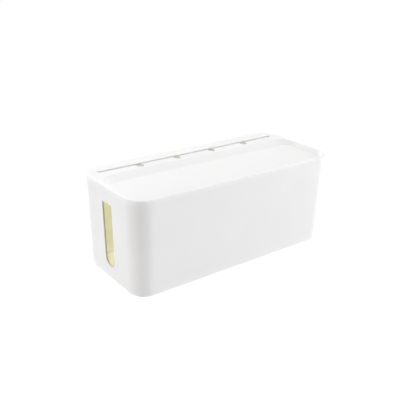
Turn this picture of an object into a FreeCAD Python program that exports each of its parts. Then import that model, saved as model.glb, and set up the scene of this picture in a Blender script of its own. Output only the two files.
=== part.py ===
import FreeCAD, Part
import math
import os

import Sketcher

# Cable management box: an open-topped drafted box with a cable slot in each end, a lift-off lid with
# a dished tray and a notched cable slot along its back, and four rubber feet. Millimetres, +X along the
# length, +Y to the back, +Z up, with the origin on the table under the middle of the box.

SIZES = {
    # The lid, which is also the overall outline
    "lid_length": 320.0,
    "lid_depth": 137.0,
    "overall_height": 128.0,
    "lid_corner_radius": 26.0,
    "lid_band": 6.0,
    "lid_wall": 2.5,
    "lid_top_round": 2.0,
    "lid_skirt": 3.0,
    # The lip under the lid that finds the inside of the box
    "lip_depth": 2.5,
    "lip_wall": 2.0,
    "lip_clearance": 0.8,
    # The tray in the top of the lid
    "tray_rim": 5.0,
    "tray_depth": 5.0,
    "tray_wall_run": 3.0,
    "tray_ramp_run": 14.0,
    "tray_edge_round": 1.5,
    "tray_foot_round": 3.0,
    "belly_wall": 2.0,
    # The cable slot along the back of the lid and the notches in its front edge
    "slot_back_margin": 21.5,
    "slot_end_margin": 15.0,
    "slot_width": 4.4,
    "slot_corner": 2.0,
    "slot_edge_round": 0.8,
    "notch_count": 4,
    "notch_width": 9.5,
    "notch_reach": 9.4,
    "notch_margin": 5.2,
    # The box
    "lid_overhang": 1.3,
    "end_taper": 4.2,
    "side_taper": 2.7,
    "box_wall": 2.0,
    "box_floor": 2.5,
    "base_round": 2.0,
    "floor_round": 3.0,
    "edge_break": 0.5,
    # The cable slot in each end of the box
    "end_slot_width": 22.0,
    "end_slot_sill": 17.7,
    "end_slot_drop": 17.0,
    "end_slot_corner": 2.0,
    "end_slot_edge_round": 1.0,
    # The rubber feet
    "foot_diameter": 12.0,
    "foot_stand": 1.3,
    "foot_recess": 0.7,
    "foot_fit": 0.2,
    "foot_inset": 15.0,
    "foot_round": 0.5,
}

# Each cut that has to leave the solid runs past it by this much.
OVERRUN = 1.0
# Two places closer than this are the same place.
NEAR = 0.01

document = FreeCAD.newDocument("cable_management_box")


def fill_sheet():
    """Writes the driving dimensions into a spreadsheet, one alias a row."""
    sheet = document.addObject("Spreadsheet::Sheet", "Sizes")
    for row, (alias, value) in enumerate(SIZES.items(), start=1):
        sheet.set(f"A{row}", alias)
        sheet.set(f"B{row}", str(value))
        sheet.setAlias(f"B{row}", alias)
    document.recompute()
    return sheet


sheet = fill_sheet()


def value_of(expression):
    """The number that an expression in the sheet's sizes gives now."""
    result = sheet.evalExpression(expression)
    return float(getattr(result, "Value", result))


# Places that more than one piece shares, as expressions in the sheet's sizes
HALF_LENGTH = "(Sizes.lid_length / 2)"
HALF_DEPTH = "(Sizes.lid_depth / 2)"
SEAT_HEIGHT = "(Sizes.overall_height - Sizes.lid_band)"
RIM_HALF_LENGTH = f"({HALF_LENGTH} - Sizes.lid_overhang)"
RIM_HALF_DEPTH = f"({HALF_DEPTH} - Sizes.lid_overhang)"
RIM_RADIUS = "(Sizes.lid_corner_radius - Sizes.lid_overhang)"
BASE_HALF_LENGTH = f"({RIM_HALF_LENGTH} - Sizes.end_taper)"
BASE_HALF_DEPTH = f"({RIM_HALF_DEPTH} - Sizes.side_taper)"
BASE_RADIUS = f"({RIM_RADIUS} - Sizes.side_taper)"

# Outlines, each as its half length, its reach to the front, its reach to the back and its corner radius
LID_OUTLINE = (HALF_LENGTH, HALF_DEPTH, HALF_DEPTH, "Sizes.lid_corner_radius")
RIM_OUTLINE = (RIM_HALF_LENGTH, RIM_HALF_DEPTH, RIM_HALF_DEPTH, RIM_RADIUS)
BASE_OUTLINE = (BASE_HALF_LENGTH, BASE_HALF_DEPTH, BASE_HALF_DEPTH, BASE_RADIUS)

# Where the feet stand, and the slot and the tray's back edge in the top of the lid
FOOT_X = f"({BASE_HALF_LENGTH} - Sizes.foot_inset)"
FOOT_Y = f"({BASE_HALF_DEPTH} - Sizes.foot_inset)"
SLOT_BACK = f"({HALF_DEPTH} - Sizes.slot_back_margin)"
SLOT_FRONT = f"({SLOT_BACK} - Sizes.slot_width)"
TRAY_BACK = f"({SLOT_FRONT} - Sizes.notch_reach - Sizes.notch_margin)"


def grown(outline, amount):
    """An outline moved outwards by an amount all round."""
    return tuple(f"({reach} + {amount})" for reach in outline)


def shrunk(outline, amount):
    """An outline moved inwards by an amount all round."""
    return tuple(f"({reach} - {amount})" for reach in outline)


def new_body(label):
    body = document.addObject("PartDesign::Body", label)
    body.Label = label
    return body


def origin_feature(body, role):
    for feature in body.Origin.OriginFeatures:
        if feature.Role == role:
            return feature
    raise RuntimeError(f"{body.Label} has no {role}")


def new_sketch(body, name, plane="XY_Plane", lift="0", shift="0"):
    """An empty sketch on one of the body's planes, lifted off it and shifted along the sketch's own x."""
    sketch = body.newObject("Sketcher::SketchObject", name)
    sketch.AttachmentSupport = [(origin_feature(body, plane), "")]
    sketch.MapMode = "FlatFace"
    sketch.setExpression("AttachmentOffset.Base.z", lift)
    sketch.setExpression("AttachmentOffset.Base.x", shift)
    return sketch


def bind(sketch, kind, geometry, expression):
    """Adds one dimension to a sketch and ties it to an expression in the sheet's sizes."""
    index = sketch.addConstraint(Sketcher.Constraint(kind, *geometry, value_of(expression)))
    sketch.setExpression(f"Constraints[{index}]", expression)


def add_rounded_rectangle(sketch, outline):
    """Draws an outline, a rounded rectangle, about the origin of a sketch."""
    half_length, front, back, radius = outline
    right, low, high = value_of(half_length), -value_of(front), value_of(back)
    round_by = value_of(radius)
    corners = [
        (right - round_by, low + round_by, -math.pi / 2),
        (right - round_by, high - round_by, 0.0),
        (round_by - right, high - round_by, math.pi / 2),
        (round_by - right, low + round_by, math.pi),
    ]
    up = FreeCAD.Vector(0, 0, 1)
    arcs = []
    for x, y, start in corners:
        circle = Part.Circle(FreeCAD.Vector(x, y, 0), up, round_by)
        arcs.append(Part.ArcOfCircle(circle, start, start + math.pi / 2))
    arc_ids = [sketch.addGeometry(arc, False) for arc in arcs]
    line_ids = []
    for this_arc, next_arc in zip(arcs, arcs[1:] + arcs[:1]):
        side = Part.LineSegment(this_arc.EndPoint, next_arc.StartPoint)
        line_ids.append(sketch.addGeometry(side, False))
    for index, line in enumerate(line_ids):
        next_arc = arc_ids[(index + 1) % len(arc_ids)]
        sketch.addConstraint(Sketcher.Constraint("Tangent", arc_ids[index], 2, line, 1))
        sketch.addConstraint(Sketcher.Constraint("Tangent", line, 2, next_arc, 1))
        sketch.addConstraint(Sketcher.Constraint("Horizontal" if index % 2 else "Vertical", line))
        bind(sketch, "Radius", (arc_ids[index],), radius)
    right_line, back_line, left_line, front_line = line_ids
    bind(sketch, "DistanceX", (-1, 1, right_line, 1), half_length)
    bind(sketch, "DistanceX", (left_line, 1, -1, 1), half_length)
    bind(sketch, "DistanceY", (-1, 1, back_line, 1), back)
    bind(sketch, "DistanceY", (front_line, 1, -1, 1), front)


def add_open_arch(sketch, half_width, tip, flat):
    """Draws a slot with a half-round lower end at height tip and a square upper end at height flat."""
    reach = value_of(half_width)
    middle = value_of(tip) + reach
    top = value_of(flat)
    circle = Part.Circle(FreeCAD.Vector(0, middle, 0), FreeCAD.Vector(0, 0, 1), reach)
    arc = sketch.addGeometry(Part.ArcOfCircle(circle, math.pi, 2 * math.pi), False)
    corners = [(reach, middle), (reach, top), (-reach, top), (-reach, middle)]
    points = [FreeCAD.Vector(x, y, 0) for x, y in corners]
    right, across, left = [
        sketch.addGeometry(Part.LineSegment(start, end), False)
        for start, end in zip(points, points[1:])
    ]
    sketch.addConstraint(Sketcher.Constraint("Tangent", arc, 2, right, 1))
    sketch.addConstraint(Sketcher.Constraint("Coincident", right, 2, across, 1))
    sketch.addConstraint(Sketcher.Constraint("Coincident", across, 2, left, 1))
    sketch.addConstraint(Sketcher.Constraint("Tangent", left, 2, arc, 1))
    sketch.addConstraint(Sketcher.Constraint("Vertical", right))
    sketch.addConstraint(Sketcher.Constraint("Horizontal", across))
    sketch.addConstraint(Sketcher.Constraint("Vertical", left))
    sketch.addConstraint(Sketcher.Constraint("PointOnObject", arc, 3, -2))
    bind(sketch, "Radius", (arc,), half_width)
    bind(sketch, "DistanceY", (-1, 1, arc, 3), f"{tip} + {half_width}")
    bind(sketch, "DistanceY", (-1, 1, across, 1), flat)


def outline_sketch(body, name, lift, outline):
    """A sketch that holds one outline at the height lift."""
    sketch = new_sketch(body, name, lift=lift)
    add_rounded_rectangle(sketch, outline)
    return sketch


def loft(body, kind, name, first, second):
    """A straight loft between two outlines: kind is AdditiveLoft or SubtractiveLoft."""
    feature = body.newObject(f"PartDesign::{kind}", name)
    feature.Profile = first
    feature.Sections = [second]
    feature.Ruled = True
    settle(feature)
    return feature


def extrude(body, kind, name, profile, length, upwards):
    """A pad or pocket of a sketch by a length, towards its upper side or its lower side."""
    feature = body.newObject(f"PartDesign::{kind}", name)
    feature.Profile = profile
    feature.Type = "Length"
    feature.Reversed = upwards == (kind == "Pocket")
    feature.setExpression("Length", length)
    settle(feature)
    return feature


def settle(feature):
    """Recomputes the document and stops if the feature, or any before it, failed."""
    document.recompute()
    if "Invalid" in feature.State or "Error" in feature.State or feature.Shape.isNull():
        raise RuntimeError(f"{feature.Label} failed: {feature.State}")


def edges_where(shape, test):
    """The names of the edges whose two ends and middle all pass the test."""
    names = []
    for number, edge in enumerate(shape.Edges, start=1):
        middle = edge.valueAt((edge.FirstParameter + edge.LastParameter) / 2)
        places = [vertex.Point for vertex in edge.Vertexes] + [middle]
        if all(test(place) for place in places):
            names.append(f"Edge{number}")
    return names


def round_edges(body, name, radius, test):
    """Rounds the edges of the body's last feature that pass the test."""
    base = body.Tip
    names = edges_where(base.Shape, test)
    if not names:
        raise RuntimeError(f"{name} found no edge")
    fillet = body.newObject("PartDesign::Fillet", name)
    fillet.Base = (base, names)
    fillet.setExpression("Radius", radius)
    settle(fillet)
    return fillet


def at_height(height):
    """A test for places at a height that an expression gives."""
    level = value_of(height)
    return lambda place: abs(place.z - level) < NEAR


def make_box():
    """The open-topped box: drafted walls, a cable slot in each end and four foot recesses."""
    body = new_body("box_body")
    base_height = "Sizes.foot_stand"
    floor_height = "(Sizes.foot_stand + Sizes.box_floor)"

    base = outline_sketch(body, "base_outline", base_height, BASE_OUTLINE)
    rim = outline_sketch(body, "rim_outline", SEAT_HEIGHT, RIM_OUTLINE)
    loft(body, "AdditiveLoft", "outer_walls", base, rim)

    floor = outline_sketch(body, "floor_outline", floor_height, shrunk(BASE_OUTLINE, "Sizes.box_wall"))
    mouth = outline_sketch(body, "mouth_outline", SEAT_HEIGHT, shrunk(RIM_OUTLINE, "Sizes.box_wall"))
    loft(body, "SubtractiveLoft", "inside", floor, mouth)
    round_edges(body, "base_rounding", "Sizes.base_round", at_height(base_height))
    round_edges(body, "floor_rounding", "Sizes.floor_round", at_height(floor_height))

    cut_end_slots(body)
    cut_foot_recesses(body)
    round_edges(body, "rim_break", "Sizes.edge_break", at_height(SEAT_HEIGHT))
    return body


def cut_end_slots(body):
    """One cut through both ends, half-round at the sill and square at the top, with a round outside."""
    sill = "(Sizes.foot_stand + Sizes.end_slot_sill)"
    head = f"({SEAT_HEIGHT} - Sizes.end_slot_drop)"
    sketch = new_sketch(body, "end_slot_outline", plane="YZ_Plane", lift=f"0 - {HALF_LENGTH}")
    add_open_arch(sketch, "(Sizes.end_slot_width / 2)", sill, head)
    extrude(body, "Pocket", "end_slots", sketch, "Sizes.lid_length", upwards=True)

    head_level = value_of(head)
    half_width = value_of("Sizes.end_slot_width / 2")

    def at_head_corner(place):
        return abs(place.z - head_level) < NEAR and abs(abs(place.y) - half_width) < NEAR

    def on_outer_edge(place):
        beside = abs(place.y) > half_width + NEAR or place.z > head_level + NEAR
        return not beside and abs(place.x) > outside_of_end(place.z) - value_of("Sizes.box_wall / 2")

    round_edges(body, "end_slot_corners", "Sizes.end_slot_corner", at_head_corner)
    round_edges(body, "end_slot_edge_rounding", "Sizes.end_slot_edge_round", on_outer_edge)


def outside_of_end(height):
    """How far from the middle the drafted outer face of an end wall is at a height."""
    low, high = value_of("Sizes.foot_stand"), value_of(SEAT_HEIGHT)
    base, rim = value_of(BASE_HALF_LENGTH), value_of(RIM_HALF_LENGTH)
    return base + (rim - base) * (height - low) / (high - low)


def cut_foot_recesses(body):
    """Four shallow round recesses in the underside, one for each foot."""
    sketch = new_sketch(body, "foot_recess_outline", lift="Sizes.foot_stand")
    radius = "Sizes.foot_diameter / 2 + Sizes.foot_fit"
    up = FreeCAD.Vector(0, 0, 1)
    for side in (-1, 1):
        for end in (-1, 1):
            centre = FreeCAD.Vector(end * value_of(FOOT_X), side * value_of(FOOT_Y), 0)
            circle = sketch.addGeometry(Part.Circle(centre, up, value_of(radius)), False)
            across = (-1, 1, circle, 3) if end > 0 else (circle, 3, -1, 1)
            along = (-1, 1, circle, 3) if side > 0 else (circle, 3, -1, 1)
            bind(sketch, "DistanceX", across, FOOT_X)
            bind(sketch, "DistanceY", along, FOOT_Y)
            bind(sketch, "Radius", (circle,), radius)
    extrude(body, "Pocket", "foot_recesses", sketch, "Sizes.foot_recess", upwards=True)


def make_lid():
    """The lift-off lid, drawn with the plane that rests on the box at its own zero height."""
    body = new_body("lid")
    body.setExpression("Placement.Base.z", SEAT_HEIGHT)
    outline = outline_sketch(body, "lid_outline", "0", LID_OUTLINE)
    extrude(body, "Pad", "cap", outline, "Sizes.lid_band", upwards=True)
    round_edges(body, "top_rounding", "Sizes.lid_top_round", at_height("Sizes.lid_band"))
    hollow = outline_sketch(body, "hollow_outline", "0", shrunk(LID_OUTLINE, "Sizes.lid_skirt"))
    extrude(body, "Pocket", "hollow", hollow, "Sizes.lid_band - Sizes.lid_wall", upwards=True)
    add_lip(body)
    sink_tray(body)
    cut_lid_slot(body)
    round_edges(body, "skirt_break", "Sizes.edge_break", on_skirt_foot)
    return body


def on_skirt_foot(place):
    """Whether a place is on the lower outer edge of the lid's skirt, in the lid's own heights."""
    radius = value_of("Sizes.lid_corner_radius")
    out_x = max(abs(place.x) - value_of(HALF_LENGTH) + radius, 0)
    out_y = max(abs(place.y) - value_of(HALF_DEPTH) + radius, 0)
    return abs(place.z) < NEAR and abs(math.hypot(out_x, out_y) - radius) < NEAR


def add_lip(body):
    """The ring that hangs from the lid inside the walls of the box."""
    outside = shrunk(RIM_OUTLINE, "(Sizes.box_wall + Sizes.lip_clearance)")
    sketch = outline_sketch(body, "lip_outline", "0 - Sizes.lip_depth", outside)
    add_rounded_rectangle(sketch, shrunk(outside, "Sizes.lip_wall"))
    reach = "Sizes.lip_depth + Sizes.lid_band - Sizes.lid_wall / 2"
    extrude(body, "Pad", "lip", sketch, reach, upwards=True)


def sink_tray(body):
    """The tray, steep at the front and ends and a gentle ramp at the back, and a belly under it."""
    top = "Sizes.lid_band"
    bottom = "(Sizes.lid_band - Sizes.tray_depth)"
    edge_outline = (f"({HALF_LENGTH} - Sizes.tray_rim)", f"({HALF_DEPTH} - Sizes.tray_rim)", TRAY_BACK,
                    "(Sizes.lid_corner_radius - Sizes.tray_rim)")
    half_length, front, _, radius = shrunk(edge_outline, "Sizes.tray_wall_run")
    foot_outline = (half_length, front, f"({TRAY_BACK} - Sizes.tray_ramp_run)", radius)

    belly_top = outline_sketch(body, "belly_top_outline", f"{top} - Sizes.lid_wall / 2",
                               grown(edge_outline, "Sizes.belly_wall"))
    belly_foot = outline_sketch(body, "belly_foot_outline", f"{bottom} - Sizes.lid_wall",
                                grown(foot_outline, "Sizes.belly_wall"))
    loft(body, "AdditiveLoft", "belly", belly_top, belly_foot)

    edge = outline_sketch(body, "tray_edge_outline", top, edge_outline)
    foot = outline_sketch(body, "tray_foot_outline", bottom, foot_outline)
    loft(body, "SubtractiveLoft", "tray", edge, foot)

    top_level = value_of(top)
    edge_x = value_of(edge_outline[0])
    edge_y = value_of(TRAY_BACK)

    def on_tray_edge(place):
        inside = abs(place.x) < edge_x + NEAR and place.y < edge_y + NEAR
        return inside and abs(place.z - top_level) < NEAR

    round_edges(body, "tray_foot_rounding", "Sizes.tray_foot_round", at_height(bottom))
    round_edges(body, "tray_edge_rounding", "Sizes.tray_edge_round", on_tray_edge)


def cut_lid_slot(body):
    """The long cable slot behind the tray, with half-round notches in its front edge, rounded on top."""
    half_length = f"({HALF_LENGTH} - Sizes.slot_end_margin)"
    pitch = f"(2 * {half_length} / (Sizes.notch_count + 1))"
    depth = f"Sizes.lid_wall + {OVERRUN}"

    slot_outline = (half_length, f"(0 - {SLOT_FRONT})", SLOT_BACK, "Sizes.slot_corner")
    slot = outline_sketch(body, "slot_outline", "Sizes.lid_band", slot_outline)
    extrude(body, "Pocket", "cable_slot", slot, depth, upwards=False)

    notch = new_sketch(body, "notch_outline", lift="Sizes.lid_band", shift=f"{pitch} - {half_length}")
    add_open_arch(notch, "(Sizes.notch_width / 2)", f"({SLOT_FRONT} - Sizes.notch_reach)",
                  f"({SLOT_FRONT} + Sizes.slot_width / 2)")
    first_notch = extrude(body, "Pocket", "first_notch", notch, depth, upwards=False)

    row = body.newObject("PartDesign::LinearPattern", "notches")
    row.Originals = [first_notch]
    row.Direction = (origin_feature(body, "X_Axis"), [""])
    row.setExpression("Occurrences", "Sizes.notch_count")
    row.setExpression("Length", f"{pitch} * (Sizes.notch_count - 1)")
    body.Tip = row
    settle(row)

    top_level = value_of("Sizes.lid_band")
    reach_x = value_of(half_length)
    front_y = value_of(f"{SLOT_FRONT} - Sizes.notch_reach")
    back_y = value_of(SLOT_BACK)

    def on_slot_edge(place):
        within = abs(place.x) < reach_x + NEAR and front_y - NEAR < place.y < back_y + NEAR
        return within and abs(place.z - top_level) < NEAR

    round_edges(body, "slot_edge_rounding", "Sizes.slot_edge_round", on_slot_edge)


def make_foot(label, end, side):
    """One rubber foot: a disc with a rounded lower edge, up against the roof of its recess."""
    body = new_body(label)
    body.setExpression("Placement.Base.x", f"{end} * {FOOT_X}")
    body.setExpression("Placement.Base.y", f"{side} * {FOOT_Y}")
    sketch = new_sketch(body, f"{label}_outline")
    radius = value_of("Sizes.foot_diameter / 2")
    circle = Part.Circle(FreeCAD.Vector(0, 0, 0), FreeCAD.Vector(0, 0, 1), radius)
    disc = sketch.addGeometry(circle, False)
    sketch.addConstraint(Sketcher.Constraint("Coincident", disc, 3, -1, 1))
    bind(sketch, "Radius", (disc,), "Sizes.foot_diameter / 2")
    extrude(body, "Pad", f"{label}_disc", sketch, "Sizes.foot_stand + Sizes.foot_recess", upwards=True)
    round_edges(body, f"{label}_rounding", "Sizes.foot_round", at_height("0"))
    return body


def make_feet():
    feet = []
    for side_name, side in (("front", -1), ("back", 1)):
        for end_name, end in (("left", -1), ("right", 1)):
            feet.append(make_foot(f"foot_{side_name}_{end_name}", end, side))
    return feet


def check_document(pieces):
    """Stops if any object failed or any piece is null, invalid or more than one solid."""
    document.recompute()
    for thing in document.Objects:
        if "Invalid" in thing.State or "Error" in thing.State:
            raise RuntimeError(f"{thing.Label} is {thing.State}")
    for piece in pieces:
        if piece.Shape.isNull() or not piece.Shape.isValid():
            raise RuntimeError(f"{piece.Label} has no valid shape")
        if len(piece.Shape.Solids) != 1:
            raise RuntimeError(f"{piece.Label} has {len(piece.Shape.Solids)} solids")


def write_pieces(pieces):
    os.makedirs("parts", exist_ok=True)
    for piece in pieces:
        piece.Shape.exportStep(f"parts/{piece.Label}.step")
        box = piece.Shape.BoundBox
        print(f"{piece.Label}: {piece.Shape.Volume / 1000:.2f} cm3, "
              f"x {box.XMin:.2f} to {box.XMax:.2f}, y {box.YMin:.2f} to {box.YMax:.2f}, "
              f"z {box.ZMin:.2f} to {box.ZMax:.2f}")


pieces = [make_box(), make_lid()] + make_feet()
check_document(pieces)
write_pieces(pieces)
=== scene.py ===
import math

import bpy
from mathutils import Matrix, Vector


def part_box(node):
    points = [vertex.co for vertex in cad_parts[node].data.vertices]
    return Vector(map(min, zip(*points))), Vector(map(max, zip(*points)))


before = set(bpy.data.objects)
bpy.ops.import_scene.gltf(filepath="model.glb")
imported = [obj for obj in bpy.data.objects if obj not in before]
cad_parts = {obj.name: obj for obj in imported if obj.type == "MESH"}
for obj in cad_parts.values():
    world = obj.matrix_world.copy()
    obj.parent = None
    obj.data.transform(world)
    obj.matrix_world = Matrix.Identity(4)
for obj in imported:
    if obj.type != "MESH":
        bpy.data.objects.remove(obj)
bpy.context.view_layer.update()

# The camera of the photograph: its place in metres, and its direction, roll and lens
CAMERA_PLACE = Vector((-0.4735, -0.5960, 0.3918))
CAMERA_AZIMUTH = math.radians(-37.38)
CAMERA_ELEVATION = math.radians(22.78)
CAMERA_ROLL = math.radians(1.47)
CAMERA_LENS = 54.94
CAMERA_SENSOR = 36.0

# Sizes of the box and lid that the materials need, in metres
BOX_WALL = 0.002
END_TAPER = 0.0042
SIDE_TAPER = 0.0027
RIM_CORNER_RADIUS = 0.0247
LID_CORNER_RADIUS = 0.026
LID_SKIRT = 0.003

# The inside of the box begins this far into its wall, and its limits are blurred by this much
INSIDE_DEPTH = BOX_WALL * 0.9
EDGE_BLUR = 0.0003

# The outer colours of the box and lid, and painted light on their inside faces: the warm, dimmer light of the
# closed inside
BOX_WHITE = (0.93, 0.921, 0.937)
BOX_INSIDE_PAINTED_LIGHT = (0.72, 0.615, 0.27)
LID_WHITE = (0.946, 0.943, 0.956)
LID_INSIDE_PAINTED_LIGHT = (0.93, 0.925, 0.87)

# The painted inside light fades out between these depths below the rim, where more light comes in, and between
# these heights above the underside, where the floor is painted paler, in metres, and these shares of it are
# left
FADE_BELOW_RIM = (0.03, 0.012)
SHARE_AT_RIM = 0.15
FADE_OVER_FLOOR = (0.003, 0.02)
SHARE_ON_FLOOR = 0.7

# The Z of a face's direction: where it stops being an underside, and where it begins to look up
UNDERSIDE_LIMITS = (-0.6, -0.4)
UPWARD_LIMITS = (0.1, 0.4)

# How far red, green and blue light sink into the plastic, as shares of the shader's scale in metres
SINK_SCALE = 0.03
SINK_OUTSIDE = (0.08, 0.08, 0.08)
SINK_INSIDE = (1.0, 0.96, 0.62)

# The plastic's flow marks and smears: their noise, the noise values they come in between, and their effect
FLOW_MARKS = {"scale": 9.0, "detail": 3.0}
FLOW_LIMITS = (0.35, 0.65)
FLOW_DARKENING = 0.985
SMEARS = {"scale": 35.0, "detail": 5.0, "roughness": 0.6}
SMEAR_LIMITS = (0.3, 0.7)
PLASTIC_ROUGHNESS = (0.35, 0.43)

# How strongly the plastic reflects
PLASTIC_IOR = 1.5
PLASTIC_SPECULAR = 0.2

# The plastic's relief: the noise of its slow waves and of its grain, and their heights in metres
WAVES = {"scale": 16.0, "detail": 1.0}
WAVE_RELIEF = {"distance": 0.0004, "strength": 0.25}
GRAIN = {"scale": 2600.0, "detail": 2.0}
GRAIN_RELIEF = {"distance": 0.000012, "strength": 0.6}

# The feet's rubber: its clean and dusty colours, the noise of the dust, and its grain
RUBBER_CLEAN = (0.55, 0.55, 0.54)
RUBBER_DUSTY = (0.66, 0.65, 0.63)
DUST = {"scale": 420.0, "detail": 4.0, "roughness": 0.65}
DUST_COLOUR_LIMITS = (0.45, 0.7)
DUST_GLOSS_LIMITS = (0.3, 0.7)
RUBBER_ROUGHNESS = (0.7, 0.9)
RUBBER_GRAIN = {"scale": 1800.0, "detail": 3.0}
RUBBER_RELIEF = {"distance": 0.00006, "strength": 0.7}

# The table: its size in metres, its grey as it is shown and as it lights the box, and the glow it is shown with
TABLE_SIZE = 14.0
TABLE_GREY_SHOWN = 0.24
TABLE_GREY_LIT = 0.55
TABLE_GLOW_SHOWN = 0.91

# The table's glow that lights the box: strongest by the box's back left corner, fading between these distances
# from there, in metres, with more of it in a rounded rectangle under the box
BRIGHTEST_PLACE = (-0.14, 0.06, 0.0)
GLOW_DISTANCES = (0.2, 0.7)
GLOW_NEAR = 0.40
GLOW_FAR = 0.30
GLOW_UNDER_BOX = 0.42
GLOW_REACH_X = 0.131
GLOW_REACH_Y = 0.041
GLOW_RADIUS = 0.02

# The surround's light: from the far side and the photograph's side, the share of it that the right gives, what
# overhead adds, above these limits of Z, and the tint of the photograph's side
FAR_SIDE_LIGHT = 0.50
PHOTO_SIDE_LIGHT = 0.02
SHARE_FROM_RIGHT = 0.25
OVERHEAD_LIGHT = 0.31
OVERHEAD_LIMITS = (0.2, 0.9)
PHOTO_SIDE_TINT = (1.0, 0.82, 0.70)
TINT_LIMITS = (0.2, 1.0)
PLAIN_WHITE = (1.0, 1.0, 1.0)

# The softboxes: name, place, width, height, power and colour
LAMP_TARGET = (0.0, 0.0, 0.06)
SOFTBOXES = (
    ("softbox_left", (-1.39, -0.02, 0.55), 0.9, 0.8, 6.3, PLAIN_WHITE),
    ("softbox_right", (1.7, -1.36, 0.72), 1.0, 1.2, 37.5, (0.975, 0.98, 1.0)),
    ("softbox_top", (-0.2, 0.93, 1.1), 1.2, 1.2, 11.3, PLAIN_WHITE),
)


def wire(tree, socket, value):
    """Joins a socket to another, or sets its value."""
    if isinstance(value, bpy.types.NodeSocket):
        tree.links.new(value, socket)
    else:
        socket.default_value = value


def calculate(tree, operation, first, second=0.0, third=0.0, clamp=False):
    """One Math node, whose inputs are sockets or numbers, and its result."""
    node = tree.nodes.new("ShaderNodeMath")
    node.operation = operation
    node.use_clamp = clamp
    for socket, value in zip(node.inputs, (first, second, third)):
        wire(tree, socket, value)
    return node.outputs[0]


def compare_vectors(tree, operation, first, second):
    """One number from two vectors, such as their distance."""
    node = tree.nodes.new("ShaderNodeVectorMath")
    node.operation = operation
    wire(tree, node.inputs[0], first)
    wire(tree, node.inputs[1], second)
    return node.outputs["Value"]


def stretch(tree, value, low, high, to_low, to_high):
    """A value carried smoothly from the range low to high onto to_low to to_high, and held at its ends."""
    node = tree.nodes.new("ShaderNodeMapRange")
    node.interpolation_type = "SMOOTHSTEP"
    for name, setting in (("Value", value), ("From Min", low), ("From Max", high), ("To Min", to_low),
                          ("To Max", to_high)):
        wire(tree, node.inputs[name], setting)
    return node.outputs["Result"]


def mix_colours(tree, share, first, second):
    """The first colour where share is 0 and the second where it is 1."""
    node = tree.nodes.new("ShaderNodeMix")
    node.data_type = "RGBA"
    wire(tree, node.inputs["Factor"], share)
    for name, colour in (("A", first), ("B", second)):
        socket = [s for s in node.inputs if s.name == name and s.type == "RGBA"][0]
        wire(tree, socket, colour if isinstance(colour, bpy.types.NodeSocket) else (*colour, 1.0))
    return [s for s in node.outputs if s.type == "RGBA"][0]


def noise(tree, place, scale, detail, roughness=0.5):
    """Noise whose grain is scale marks to the metre."""
    node = tree.nodes.new("ShaderNodeTexNoise")
    wire(tree, node.inputs["Vector"], place)
    node.inputs["Scale"].default_value = scale
    node.inputs["Detail"].default_value = detail
    node.inputs["Roughness"].default_value = roughness
    return node.outputs["Fac"]


def bump(tree, height, distance, strength, normal=None):
    """Relief of a real height in metres, laid over other relief if there is any."""
    node = tree.nodes.new("ShaderNodeBump")
    wire(tree, node.inputs["Height"], height)
    node.inputs["Distance"].default_value = distance
    node.inputs["Strength"].default_value = strength
    if normal is not None:
        wire(tree, node.inputs["Normal"], normal)
    return node.outputs["Normal"]


def new_material(name):
    """An empty node material, its node tree and its output node."""
    material = bpy.data.materials.new(name)
    material.use_nodes = True
    tree = material.node_tree
    tree.nodes.clear()
    return material, tree, tree.nodes.new("ShaderNodeOutputMaterial")


def place_in_object(tree):
    """Where a point of the surface is, in the object's own metres."""
    return tree.nodes.new("ShaderNodeTexCoord").outputs["Object"]


def principled_material(name):
    """A material with one Principled shader, and the shader and place that its patterns start from."""
    material, tree, output = new_material(name)
    shader = tree.nodes.new("ShaderNodeBsdfPrincipled")
    tree.links.new(shader.outputs[0], output.inputs["Surface"])
    return material, tree, shader, place_in_object(tree)


def split(tree, vector):
    """The X, Y and Z of a vector socket."""
    node = tree.nodes.new("ShaderNodeSeparateXYZ")
    wire(tree, node.inputs[0], vector)
    return node.outputs


def within_outline(tree, x, y, reach_x, reach_y, radius, drawn_in=0.0):
    """1 within a rounded rectangle and 0 outside it. Its corners have their centres at reach_x and reach_y, and
    it may be drawn in all round."""
    beyond = []
    for value, reach in ((x, reach_x), (y, reach_y)):
        past_reach = calculate(tree, "SUBTRACT", calculate(tree, "ABSOLUTE", value), reach)
        past_reach = calculate(tree, "MAXIMUM", past_reach, 0.0)
        beyond.append(calculate(tree, "POWER", past_reach, 2.0))
    across = calculate(tree, "SQRT", calculate(tree, "ADD", *beyond))
    across = calculate(tree, "ADD", across, drawn_in)
    return stretch(tree, across, radius - EDGE_BLUR, radius + EDGE_BLUR, 1.0, 0.0)


def inside_of_box(tree, place):
    """1 on the faces that look into the box and 0 outside, and how far they take the painted warm light of the
    inside.
    This painted light is weaker on the floor and fades out towards the rim."""
    low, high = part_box("box_body")
    x, y, z = split(tree, place)
    drop = calculate(tree, "DIVIDE", calculate(tree, "SUBTRACT", high.z, z), high.z - low.z)
    reach_x = calculate(tree, "MULTIPLY_ADD", drop, SIDE_TAPER - END_TAPER, high.x - RIM_CORNER_RADIUS)
    reach_y = high.y - RIM_CORNER_RADIUS
    drawn_in = calculate(tree, "MULTIPLY", drop, SIDE_TAPER)
    within_walls = within_outline(tree, x, y, reach_x, reach_y, RIM_CORNER_RADIUS - INSIDE_DEPTH, drawn_in)
    in_floor = low.z + INSIDE_DEPTH
    above_floor = stretch(tree, z, in_floor - EDGE_BLUR, in_floor + EDGE_BLUR, 0.0, 1.0)
    inside = calculate(tree, "MULTIPLY", within_walls, above_floor)
    # Painted light: the inside's warm colour fades out towards the rim, where more light comes in, and is paler
    # on the floor
    full_below, faded_at = (high.z - depth for depth in FADE_BELOW_RIM)
    below_rim = stretch(tree, z, full_below, faded_at, 1.0, SHARE_AT_RIM)
    faded_to, full_above = (low.z + height for height in FADE_OVER_FLOOR)
    over_floor = stretch(tree, z, faded_to, full_above, SHARE_ON_FLOOR, 1.0)
    share = calculate(tree, "MULTIPLY", below_rim, over_floor)
    return inside, calculate(tree, "MULTIPLY", inside, share)


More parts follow.
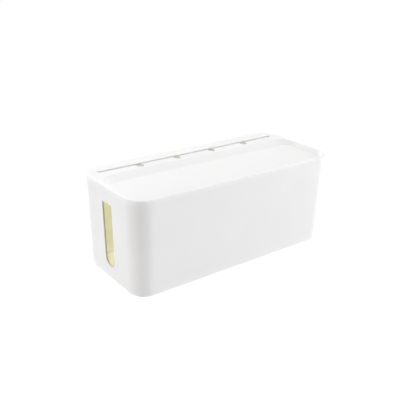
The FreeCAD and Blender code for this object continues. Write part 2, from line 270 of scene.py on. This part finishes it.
def inside_of_lid(tree, place):
    """1 on the underside of the lid and 0 elsewhere, and how far its faces take the painted warm light of the
    box's inside. The slot's cut faces take it too, and the outer faces don't."""
    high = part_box("lid")[1]
    x, y, _ = split(tree, place)
    reach_x = high.x - LID_CORNER_RADIUS
    reach_y = high.y - LID_CORNER_RADIUS
    within_skirt = within_outline(tree, x, y, reach_x, reach_y, LID_CORNER_RADIUS - LID_SKIRT / 2)
    facing = split(tree, tree.nodes.new("ShaderNodeTexCoord").outputs["Normal"])
    downwards = stretch(tree, facing["Z"], *UNDERSIDE_LIMITS, 1.0, 0.0)
    not_upwards = stretch(tree, facing["Z"], *UPWARD_LIMITS, 1.0, 0.0)
    # Painted light: the underside and the slot's cut faces take the warm light of the box's inside as their
    # colour
    inside = calculate(tree, "MULTIPLY", within_skirt, downwards)
    return inside, calculate(tree, "MULTIPLY", within_skirt, not_upwards)


def white_plastic(name, outside, inside, find_inside):
    """Moulded white plastic with a fine grain and faint flow marks. Light sinks in a little way outside, and
    much farther on the inside faces, where it shines through the thin walls. The inside faces are also painted
    with the warm, dimmer light of the closed inside."""
    material, tree, shader, place = principled_material(name)
    within, painted_light_share = find_inside(tree, place)
    flow = stretch(tree, noise(tree, place, **FLOW_MARKS), *FLOW_LIMITS, 0.0, 1.0)
    dark = tuple(channel * FLOW_DARKENING for channel in outside)
    shell = mix_colours(tree, flow, outside, dark)
    # Painted light: the inside faces take the warm, dimmer light of the closed inside as their colour
    wire(tree, shader.inputs["Base Color"], mix_colours(tree, painted_light_share, shell, inside))
    gloss = stretch(tree, noise(tree, place, **SMEARS), *SMEAR_LIMITS, *PLASTIC_ROUGHNESS)
    wire(tree, shader.inputs["Roughness"], gloss)
    shader.inputs["IOR"].default_value = PLASTIC_IOR
    shader.inputs["Specular IOR Level"].default_value = PLASTIC_SPECULAR
    shader.inputs["Subsurface Weight"].default_value = 1.0
    shader.inputs["Subsurface Scale"].default_value = SINK_SCALE
    wire(tree, shader.inputs["Subsurface Radius"], mix_colours(tree, within, SINK_OUTSIDE, SINK_INSIDE))
    waves = bump(tree, noise(tree, place, **WAVES), **WAVE_RELIEF)
    grain = bump(tree, noise(tree, place, **GRAIN), **GRAIN_RELIEF, normal=waves)
    wire(tree, shader.inputs["Normal"], grain)
    return material


def foot_rubber():
    """Pale grey rubber, matt, with a moulded grain and a little dust held in it."""
    material, tree, shader, place = principled_material("foot_rubber")
    dust = noise(tree, place, **DUST)
    dusty = stretch(tree, dust, *DUST_COLOUR_LIMITS, 0.0, 1.0)
    wire(tree, shader.inputs["Base Color"], mix_colours(tree, dusty, RUBBER_CLEAN, RUBBER_DUSTY))
    wire(tree, shader.inputs["Roughness"], stretch(tree, dust, *DUST_GLOSS_LIMITS, *RUBBER_ROUGHNESS))
    grain = bump(tree, noise(tree, place, **RUBBER_GRAIN), **RUBBER_RELIEF)
    wire(tree, shader.inputs["Normal"], grain)
    return material


def dress_nodes():
    """Gives every CAD node its material."""
    materials = {"box_body": white_plastic("box_plastic", BOX_WHITE, BOX_INSIDE_PAINTED_LIGHT, inside_of_box),
                 "lid": white_plastic("lid_plastic", LID_WHITE, LID_INSIDE_PAINTED_LIGHT, inside_of_lid)}
    rubber = foot_rubber()
    for name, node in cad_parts.items():
        node.data.materials.clear()
        node.data.materials.append(materials.get(name, rubber))


def by_ray(tree, shown, lit):
    """One number for rays that show a thing, straight or reflected, and one for rays that carry its light."""
    path = tree.nodes.new("ShaderNodeLightPath")
    seen = calculate(tree, "ADD", path.outputs["Is Camera Ray"], path.outputs["Is Glossy Ray"], clamp=True)
    seen = calculate(tree, "ADD", seen, path.outputs["Is Transmission Ray"], clamp=True)
    return calculate(tree, "MULTIPLY_ADD", seen, calculate(tree, "SUBTRACT", shown, lit), lit)


def add_floor():
    """A wide white table that shows as white and takes a faint shadow. It lights the walls weakly from below,
    and the floor of the box from under it."""
    bpy.ops.mesh.primitive_plane_add(size=TABLE_SIZE)
    floor = bpy.context.object
    floor.name = "floor"
    material, tree, output = new_material("floor")
    shaded = tree.nodes.new("ShaderNodeBsdfDiffuse")
    wire(tree, shaded.inputs["Color"], by_ray(tree, TABLE_GREY_SHOWN, TABLE_GREY_LIT))
    glow = tree.nodes.new("ShaderNodeEmission")
    place = place_in_object(tree)
    away = compare_vectors(tree, "DISTANCE", place, BRIGHTEST_PLACE)
    thrown = stretch(tree, away, *GLOW_DISTANCES, GLOW_NEAR, GLOW_FAR)
    x, y, _ = split(tree, place)
    under_box = within_outline(tree, x, y, GLOW_REACH_X, GLOW_REACH_Y, GLOW_RADIUS)
    thrown = calculate(tree, "MULTIPLY_ADD", under_box, GLOW_UNDER_BOX, thrown)
    wire(tree, glow.inputs["Strength"], by_ray(tree, TABLE_GLOW_SHOWN, thrown))
    surface = tree.nodes.new("ShaderNodeAddShader")
    tree.links.new(shaded.outputs[0], surface.inputs[0])
    tree.links.new(glow.outputs[0], surface.inputs[1])
    tree.links.new(surface.outputs[0], output.inputs["Surface"])
    floor.data.materials.append(material)


def add_world():
    """A white surround that shows at full white and lights the object gently, least and warmest from the side
    that the photograph is taken from, less from the right, and a little more from overhead."""
    world = bpy.data.worlds.new("surround")
    world.use_nodes = True
    bpy.context.scene.world = world
    tree = world.node_tree
    background = tree.nodes["Background"]
    direction = tree.nodes.new("ShaderNodeTexCoord").outputs["Generated"]
    photo_side = (math.sin(CAMERA_AZIMUTH), -math.cos(CAMERA_AZIMUTH), 0.0)
    facing = compare_vectors(tree, "DOT_PRODUCT", direction, photo_side)
    warmth = by_ray(tree, 0.0, stretch(tree, facing, *TINT_LIMITS, 0.0, 1.0))
    wire(tree, background.inputs["Color"], mix_colours(tree, warmth, PLAIN_WHITE, PHOTO_SIDE_TINT))
    x, _, z = split(tree, direction)
    ambient = stretch(tree, facing, -1.0, 1.0, FAR_SIDE_LIGHT, PHOTO_SIDE_LIGHT)
    to_right = stretch(tree, x, 0.0, 1.0, 1.0, SHARE_FROM_RIGHT)
    overhead = stretch(tree, z, *OVERHEAD_LIMITS, 0.0, OVERHEAD_LIGHT)
    ambient = calculate(tree, "MULTIPLY_ADD", ambient, to_right, overhead)
    wire(tree, background.inputs["Strength"], by_ray(tree, 1.0, ambient))


def add_softboxes():
    """The rectangular soft lamps, turned towards the middle of the box."""
    for name, place, width, height, power, colour in SOFTBOXES:
        data = bpy.data.lights.new(name, "AREA")
        data.shape = "RECTANGLE"
        data.size = width
        data.size_y = height
        data.energy = power
        data.color = colour
        lamp = bpy.data.objects.new(name, data)
        lamp.location = place
        lamp.rotation_euler = (Vector(LAMP_TARGET) - Vector(place)).to_track_quat("-Z", "Y").to_euler()
        bpy.context.scene.collection.objects.link(lamp)


def add_camera():
    """The photograph's own camera."""
    azimuth, elevation, roll = CAMERA_AZIMUTH, CAMERA_ELEVATION, CAMERA_ROLL
    back = Vector((math.sin(azimuth) * math.cos(elevation), -math.cos(azimuth) * math.cos(elevation),
                   math.sin(elevation)))
    level = Vector((math.cos(azimuth), math.sin(azimuth), 0.0))
    upright = back.cross(level)
    right = level * math.cos(roll) + upright * math.sin(roll)
    up = upright * math.cos(roll) - level * math.sin(roll)
    data = bpy.data.cameras.new("camera")
    data.lens = CAMERA_LENS
    data.sensor_width = CAMERA_SENSOR
    camera = bpy.data.objects.new("camera", data)
    turn = Matrix((right, up, back)).transposed().to_4x4()
    camera.matrix_world = Matrix.Translation(CAMERA_PLACE) @ turn
    bpy.context.scene.collection.objects.link(camera)
    bpy.context.scene.camera = camera


bpy.context.scene.view_settings.view_transform = "Standard"
dress_nodes()
add_floor()
add_world()
add_softboxes()
add_camera()
